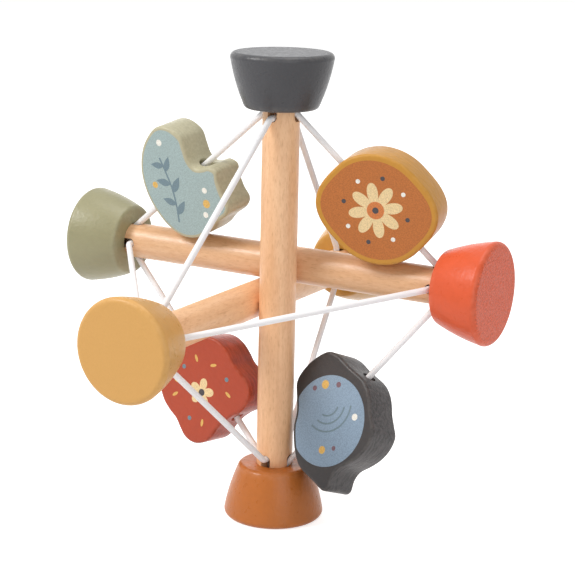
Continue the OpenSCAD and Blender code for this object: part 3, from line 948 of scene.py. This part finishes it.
def print_mesh(name, shapes):
    """The print on both faces of a block as thin films from just below its paint, and the inks they use."""
    inks = sorted({colour for _, colour, _ in shapes})
    bm = bmesh.new()
    half = BLOCK_T_MM / 2
    for layer, colour, points in shapes:
        for side in (1, -1):
            film(bm, points, side * (half - LAYER_MM), side * (half + LAYER_MM * layer), inks.index(colour))
    bmesh.ops.recalc_face_normals(bm, faces=bm.faces)
    bm.normal_update()
    bmesh.ops.triangulate(bm, faces=bm.faces)
    return to_mesh(bm, name), [INKS[c] for c in inks]


BLOCK_LOOKS = {
    "hippo": ("pale_sage", "sage_paint"),
    "round": ("mustard", "mustard_paint"),
    "bear": ("brick", "brick_paint"),
    "elephant": ("slate", "slate_paint"),
}
for name, (colour, slot) in BLOCK_LOOKS.items():
    outline = OUTLINES[name]
    place = block_place(name)
    piece = name + "_block_painted"
    add_piece(piece, bored_plate(piece, outline), name, [BLOCK_PAINTS[colour]], [name + "_block"], place)
    mesh, inks = print_mesh(name + "_print", PRINTS[name](outline))
    add_piece(name + "_print", mesh, name, inks, (), place)
    (low_axis, _), (high_axis, _) = CORD_ENDS[name]
    ends, u, _, _ = block_axes(name)
    start = ends[0] - u * into_kerf(ends, 0, low_axis)
    stop = ends[1] + u * into_kerf(ends, 1, high_axis)
    add_cord(name + "_cord", [(fill_in([start, stop], closed=False), UNIT[Y], False)], name + "_stretch")


# Floor, lights and camera
FLOOR_HALF_M = 6.0
FLOOR_COLOUR = 0.80
FLOOR_GLOW = 0.70
WORLD_LIGHT = 0.36
WORLD_SEEN = 1.0
WHITE = (1, 1, 1, 1)

# Lamps as (place, size, power in watts)
LAMPS = {
    "key": ((-0.66, -0.70, 0.88), 0.5, 10.5),
    "fill": ((0.9, -0.7, 0.35), 0.8, 2.6),
    "top": ((0.1, 0.15, 1.15), 0.8, 5.4),
    "back": ((-0.60, 1.03, 0.14), 0.7, 1.0),
}

# Camera fitted to the photo
CAMERA_AZIMUTH = math.radians(30.255)
CAMERA_HEIGHT = math.radians(13.973)
CAMERA_ROLL = math.radians(1.115)
CAMERA_DISTANCE = 0.64141
PHOTO_PX = 575.0
FOCAL_PX = 1664.87
CENTRE_PX = (271.18, 283.34)
SENSOR_WIDTH_MM = 36.0
CLIP_START_M = 0.01
CLIP_END_M = 50


def seen_directly(tree):
    """1 for rays from the camera, a reflection or a clear surface, else 0."""
    path = tree.nodes.new("ShaderNodeLightPath")
    either = path.outputs["Is Camera Ray"]
    for kind in ("Is Glossy Ray", "Is Transmission Ray"):
        n = tree.nodes.new("ShaderNodeMath")
        n.operation = "MAXIMUM"
        tree.links.new(either, n.inputs[0])
        tree.links.new(path.outputs[kind], n.inputs[1])
        either = n.outputs[0]
    return either


def floor_material():
    """Pale floor that reads as white where it is lit and keeps the soft shadow."""
    m = bpy.data.materials.new("floor")
    m.use_nodes = True
    tree = m.node_tree
    tree.nodes.clear()
    out = tree.nodes.new("ShaderNodeOutputMaterial")
    diffuse = tree.nodes.new("ShaderNodeBsdfDiffuse")
    diffuse.inputs["Color"].default_value = (FLOOR_COLOUR, FLOOR_COLOUR, FLOOR_COLOUR, 1)
    glow = tree.nodes.new("ShaderNodeEmission")
    strength = tree.nodes.new("ShaderNodeMath")
    strength.operation = "MULTIPLY"
    strength.inputs[1].default_value = FLOOR_GLOW
    add = tree.nodes.new("ShaderNodeAddShader")
    tree.links.new(seen_directly(tree), strength.inputs[0])
    tree.links.new(strength.outputs[0], glow.inputs["Strength"])
    tree.links.new(diffuse.outputs[0], add.inputs[0])
    tree.links.new(glow.outputs[0], add.inputs[1])
    tree.links.new(add.outputs[0], out.inputs["Surface"])
    return m


def add_floor():
    mesh = bpy.data.meshes.new("floor")
    r = FLOOR_HALF_M
    z = -FACE_LEVEL * MM
    mesh.from_pydata([(-r, -r, z), (r, -r, z), (r, r, z), (-r, r, z)], [], [(0, 1, 2, 3)])
    o = bpy.data.objects.new("floor", mesh)
    bpy.context.scene.collection.objects.link(o)
    mesh.materials.append(floor_material())


def add_world():
    """White all round, brighter where it is seen than where it only gives light."""
    world = bpy.data.worlds.new("studio")
    bpy.context.scene.world = world
    world.use_nodes = True
    tree = world.node_tree
    tree.nodes.clear()
    out = tree.nodes.new("ShaderNodeOutputWorld")
    mix = tree.nodes.new("ShaderNodeMixShader")
    tree.links.new(seen_directly(tree), mix.inputs[0])
    for socket, strength in ((1, WORLD_LIGHT), (2, WORLD_SEEN)):
        background = tree.nodes.new("ShaderNodeBackground")
        background.inputs["Color"].default_value = WHITE
        background.inputs["Strength"].default_value = strength
        tree.links.new(background.outputs[0], mix.inputs[socket])
    tree.links.new(mix.outputs[0], out.inputs["Surface"])


def add_light(name, place, size, power):
    light = bpy.data.lights.new(name, "AREA")
    light.shape = "DISK"
    light.size = size
    light.energy = power
    o = bpy.data.objects.new(name, light)
    o.location = place
    o.rotation_euler = Vector(place).to_track_quat("Z", "Y").to_euler()
    o.visible_camera = False
    bpy.context.scene.collection.objects.link(o)


def add_camera():
    back = Vector((math.sin(CAMERA_AZIMUTH) * math.cos(CAMERA_HEIGHT),
                   -math.cos(CAMERA_AZIMUTH) * math.cos(CAMERA_HEIGHT), math.sin(CAMERA_HEIGHT)))
    right = Vector((math.cos(CAMERA_AZIMUTH), math.sin(CAMERA_AZIMUTH), 0))
    up = back.cross(right)
    r = math.cos(CAMERA_ROLL) * right + math.sin(CAMERA_ROLL) * up
    u = -math.sin(CAMERA_ROLL) * right + math.cos(CAMERA_ROLL) * up
    data = bpy.data.cameras.new("camera")
    data.sensor_width = SENSOR_WIDTH_MM
    data.lens = FOCAL_PX * data.sensor_width / PHOTO_PX
    data.shift_x = (PHOTO_PX / 2 - CENTRE_PX[0]) / PHOTO_PX
    data.shift_y = (CENTRE_PX[1] - PHOTO_PX / 2) / PHOTO_PX
    data.clip_start = CLIP_START_M
    data.clip_end = CLIP_END_M
    o = bpy.data.objects.new("camera", data)
    m = Matrix((r, u, back)).transposed().to_4x4()
    m.translation = back * CAMERA_DISTANCE
    o.matrix_world = m
    bpy.context.scene.collection.objects.link(o)
    bpy.context.scene.camera = o


add_floor()
add_world()
for name, lamp in LAMPS.items():
    add_light(name, *lamp)
add_camera()
bpy.context.scene.view_settings.view_transform = "Standard"
